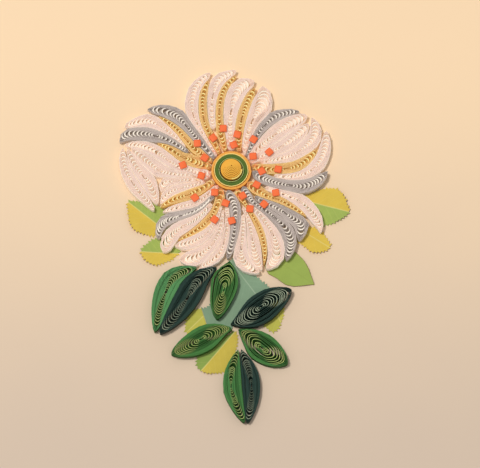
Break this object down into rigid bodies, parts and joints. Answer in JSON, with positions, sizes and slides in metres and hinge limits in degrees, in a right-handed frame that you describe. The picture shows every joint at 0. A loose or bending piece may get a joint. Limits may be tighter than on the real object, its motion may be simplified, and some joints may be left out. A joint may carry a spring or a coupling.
{
  "type": "quilled paper flower",
  "caption": "Quilled paper flower and leaf spray of coiled and pinched paper strips around a domed centre, lying flat on its back.",
  "frame": {"origin": "middle of the back face of the yellow centre coil, on the plane that the flower lies on", "axes": "+Z out of the front of the flower, +Y towards the top petals, away from the leaf spray, +X to the viewer's right"},
  "size_m": [0.102, 0.1621, 0.007],
  "materials": {
    "paper_cut_green": "matte",
    "paper_cut_teal": "matte",
    "paper_cut_yellow": "matte",
    "paper_dome_yellow": "matte",
    "paper_grey": "matte",
    "paper_leaf_dark": "matte",
    "paper_leaf_light": "matte",
    "paper_leaf_mid": "matte",
    "paper_orange": "matte",
    "paper_ring_green": "matte",
    "paper_ring_orange": "matte",
    "paper_white": "matte"
  },
  "bodies": {
    "root": {"petal_top_1_white": "paper_white", "petal_top_2_orange": "paper_orange", "petal_top_3_white": "paper_white", "petal_top_4_orange": "paper_orange", "petal_top_5_white": "paper_white", "petal_top_6_orange": "paper_orange", "petal_top_7_white": "paper_white", "petal_right_1_grey": "paper_grey", "petal_right_2_white": "paper_white", "petal_right_3_white": "paper_white", "petal_right_4_white": "paper_white", "petal_right_5_orange": "paper_orange", "petal_right_6_white": "paper_white", "petal_right_7_grey": "paper_grey", "petal_bottom_1_white": "paper_white", "petal_bottom_2_orange": "paper_orange", "petal_bottom_3_grey": "paper_grey", "petal_bottom_4_grey": "paper_grey", "petal_bottom_5_white": "paper_white", "petal_bottom_6_orange": "paper_orange", "petal_bottom_7_white": "paper_white", "petal_bottom_8_white": "paper_white", "petal_bottom_9_grey": "paper_grey", "petal_bottom_10_white": "paper_white", "petal_bottom_11_white": "paper_white", "petal_bottom_12_white": "paper_white", "petal_bottom_13_orange": "paper_orange", "petal_left_1_white": "paper_white", "petal_left_2_grey": "paper_grey", "petal_left_3_white": "paper_white", "petal_left_4_orange": "paper_orange", "petal_left_5_white": "paper_white", "petal_left_6_white": "paper_white", "petal_left_7_white": "paper_white", "petal_left_8_white": "paper_white", "petal_left_9_white": "paper_white", "petal_left_10_white": "paper_white", "petal_upper_1_orange": "paper_orange", "petal_upper_2_grey": "paper_grey", "petal_upper_3_white": "paper_white", "petal_upper_4_orange": "paper_orange", "petal_upper_5_grey": "paper_grey", "leaf_upper_pair_light_half": "paper_leaf_light", "leaf_upper_pair_dark_half": "paper_leaf_dark", "leaf_middle": "paper_leaf_mid", "leaf_right_dark": "paper_leaf_dark", "leaf_left_mid": "paper_leaf_mid", "leaf_right_mid": "paper_leaf_mid", "leaf_lower_pair_light_half": "paper_leaf_light", "leaf_lower_pair_dark_half": "paper_leaf_dark", "cut_leaf_left_upper": "paper_cut_green", "cut_leaf_left_lower": "paper_cut_green", "cut_leaf_right_upper": "paper_cut_yellow", "cut_leaf_right_lower": "paper_cut_yellow", "cut_leaf_plain": "paper_cut_green", "cut_leaf_teal": "paper_cut_teal", "cut_leaf_bottom": "paper_cut_green", "centre_dome_yellow": "paper_dome_yellow", "centre_ring_green": "paper_ring_green", "centre_ring_orange": "paper_ring_orange"}
  },
  "joints": []
}
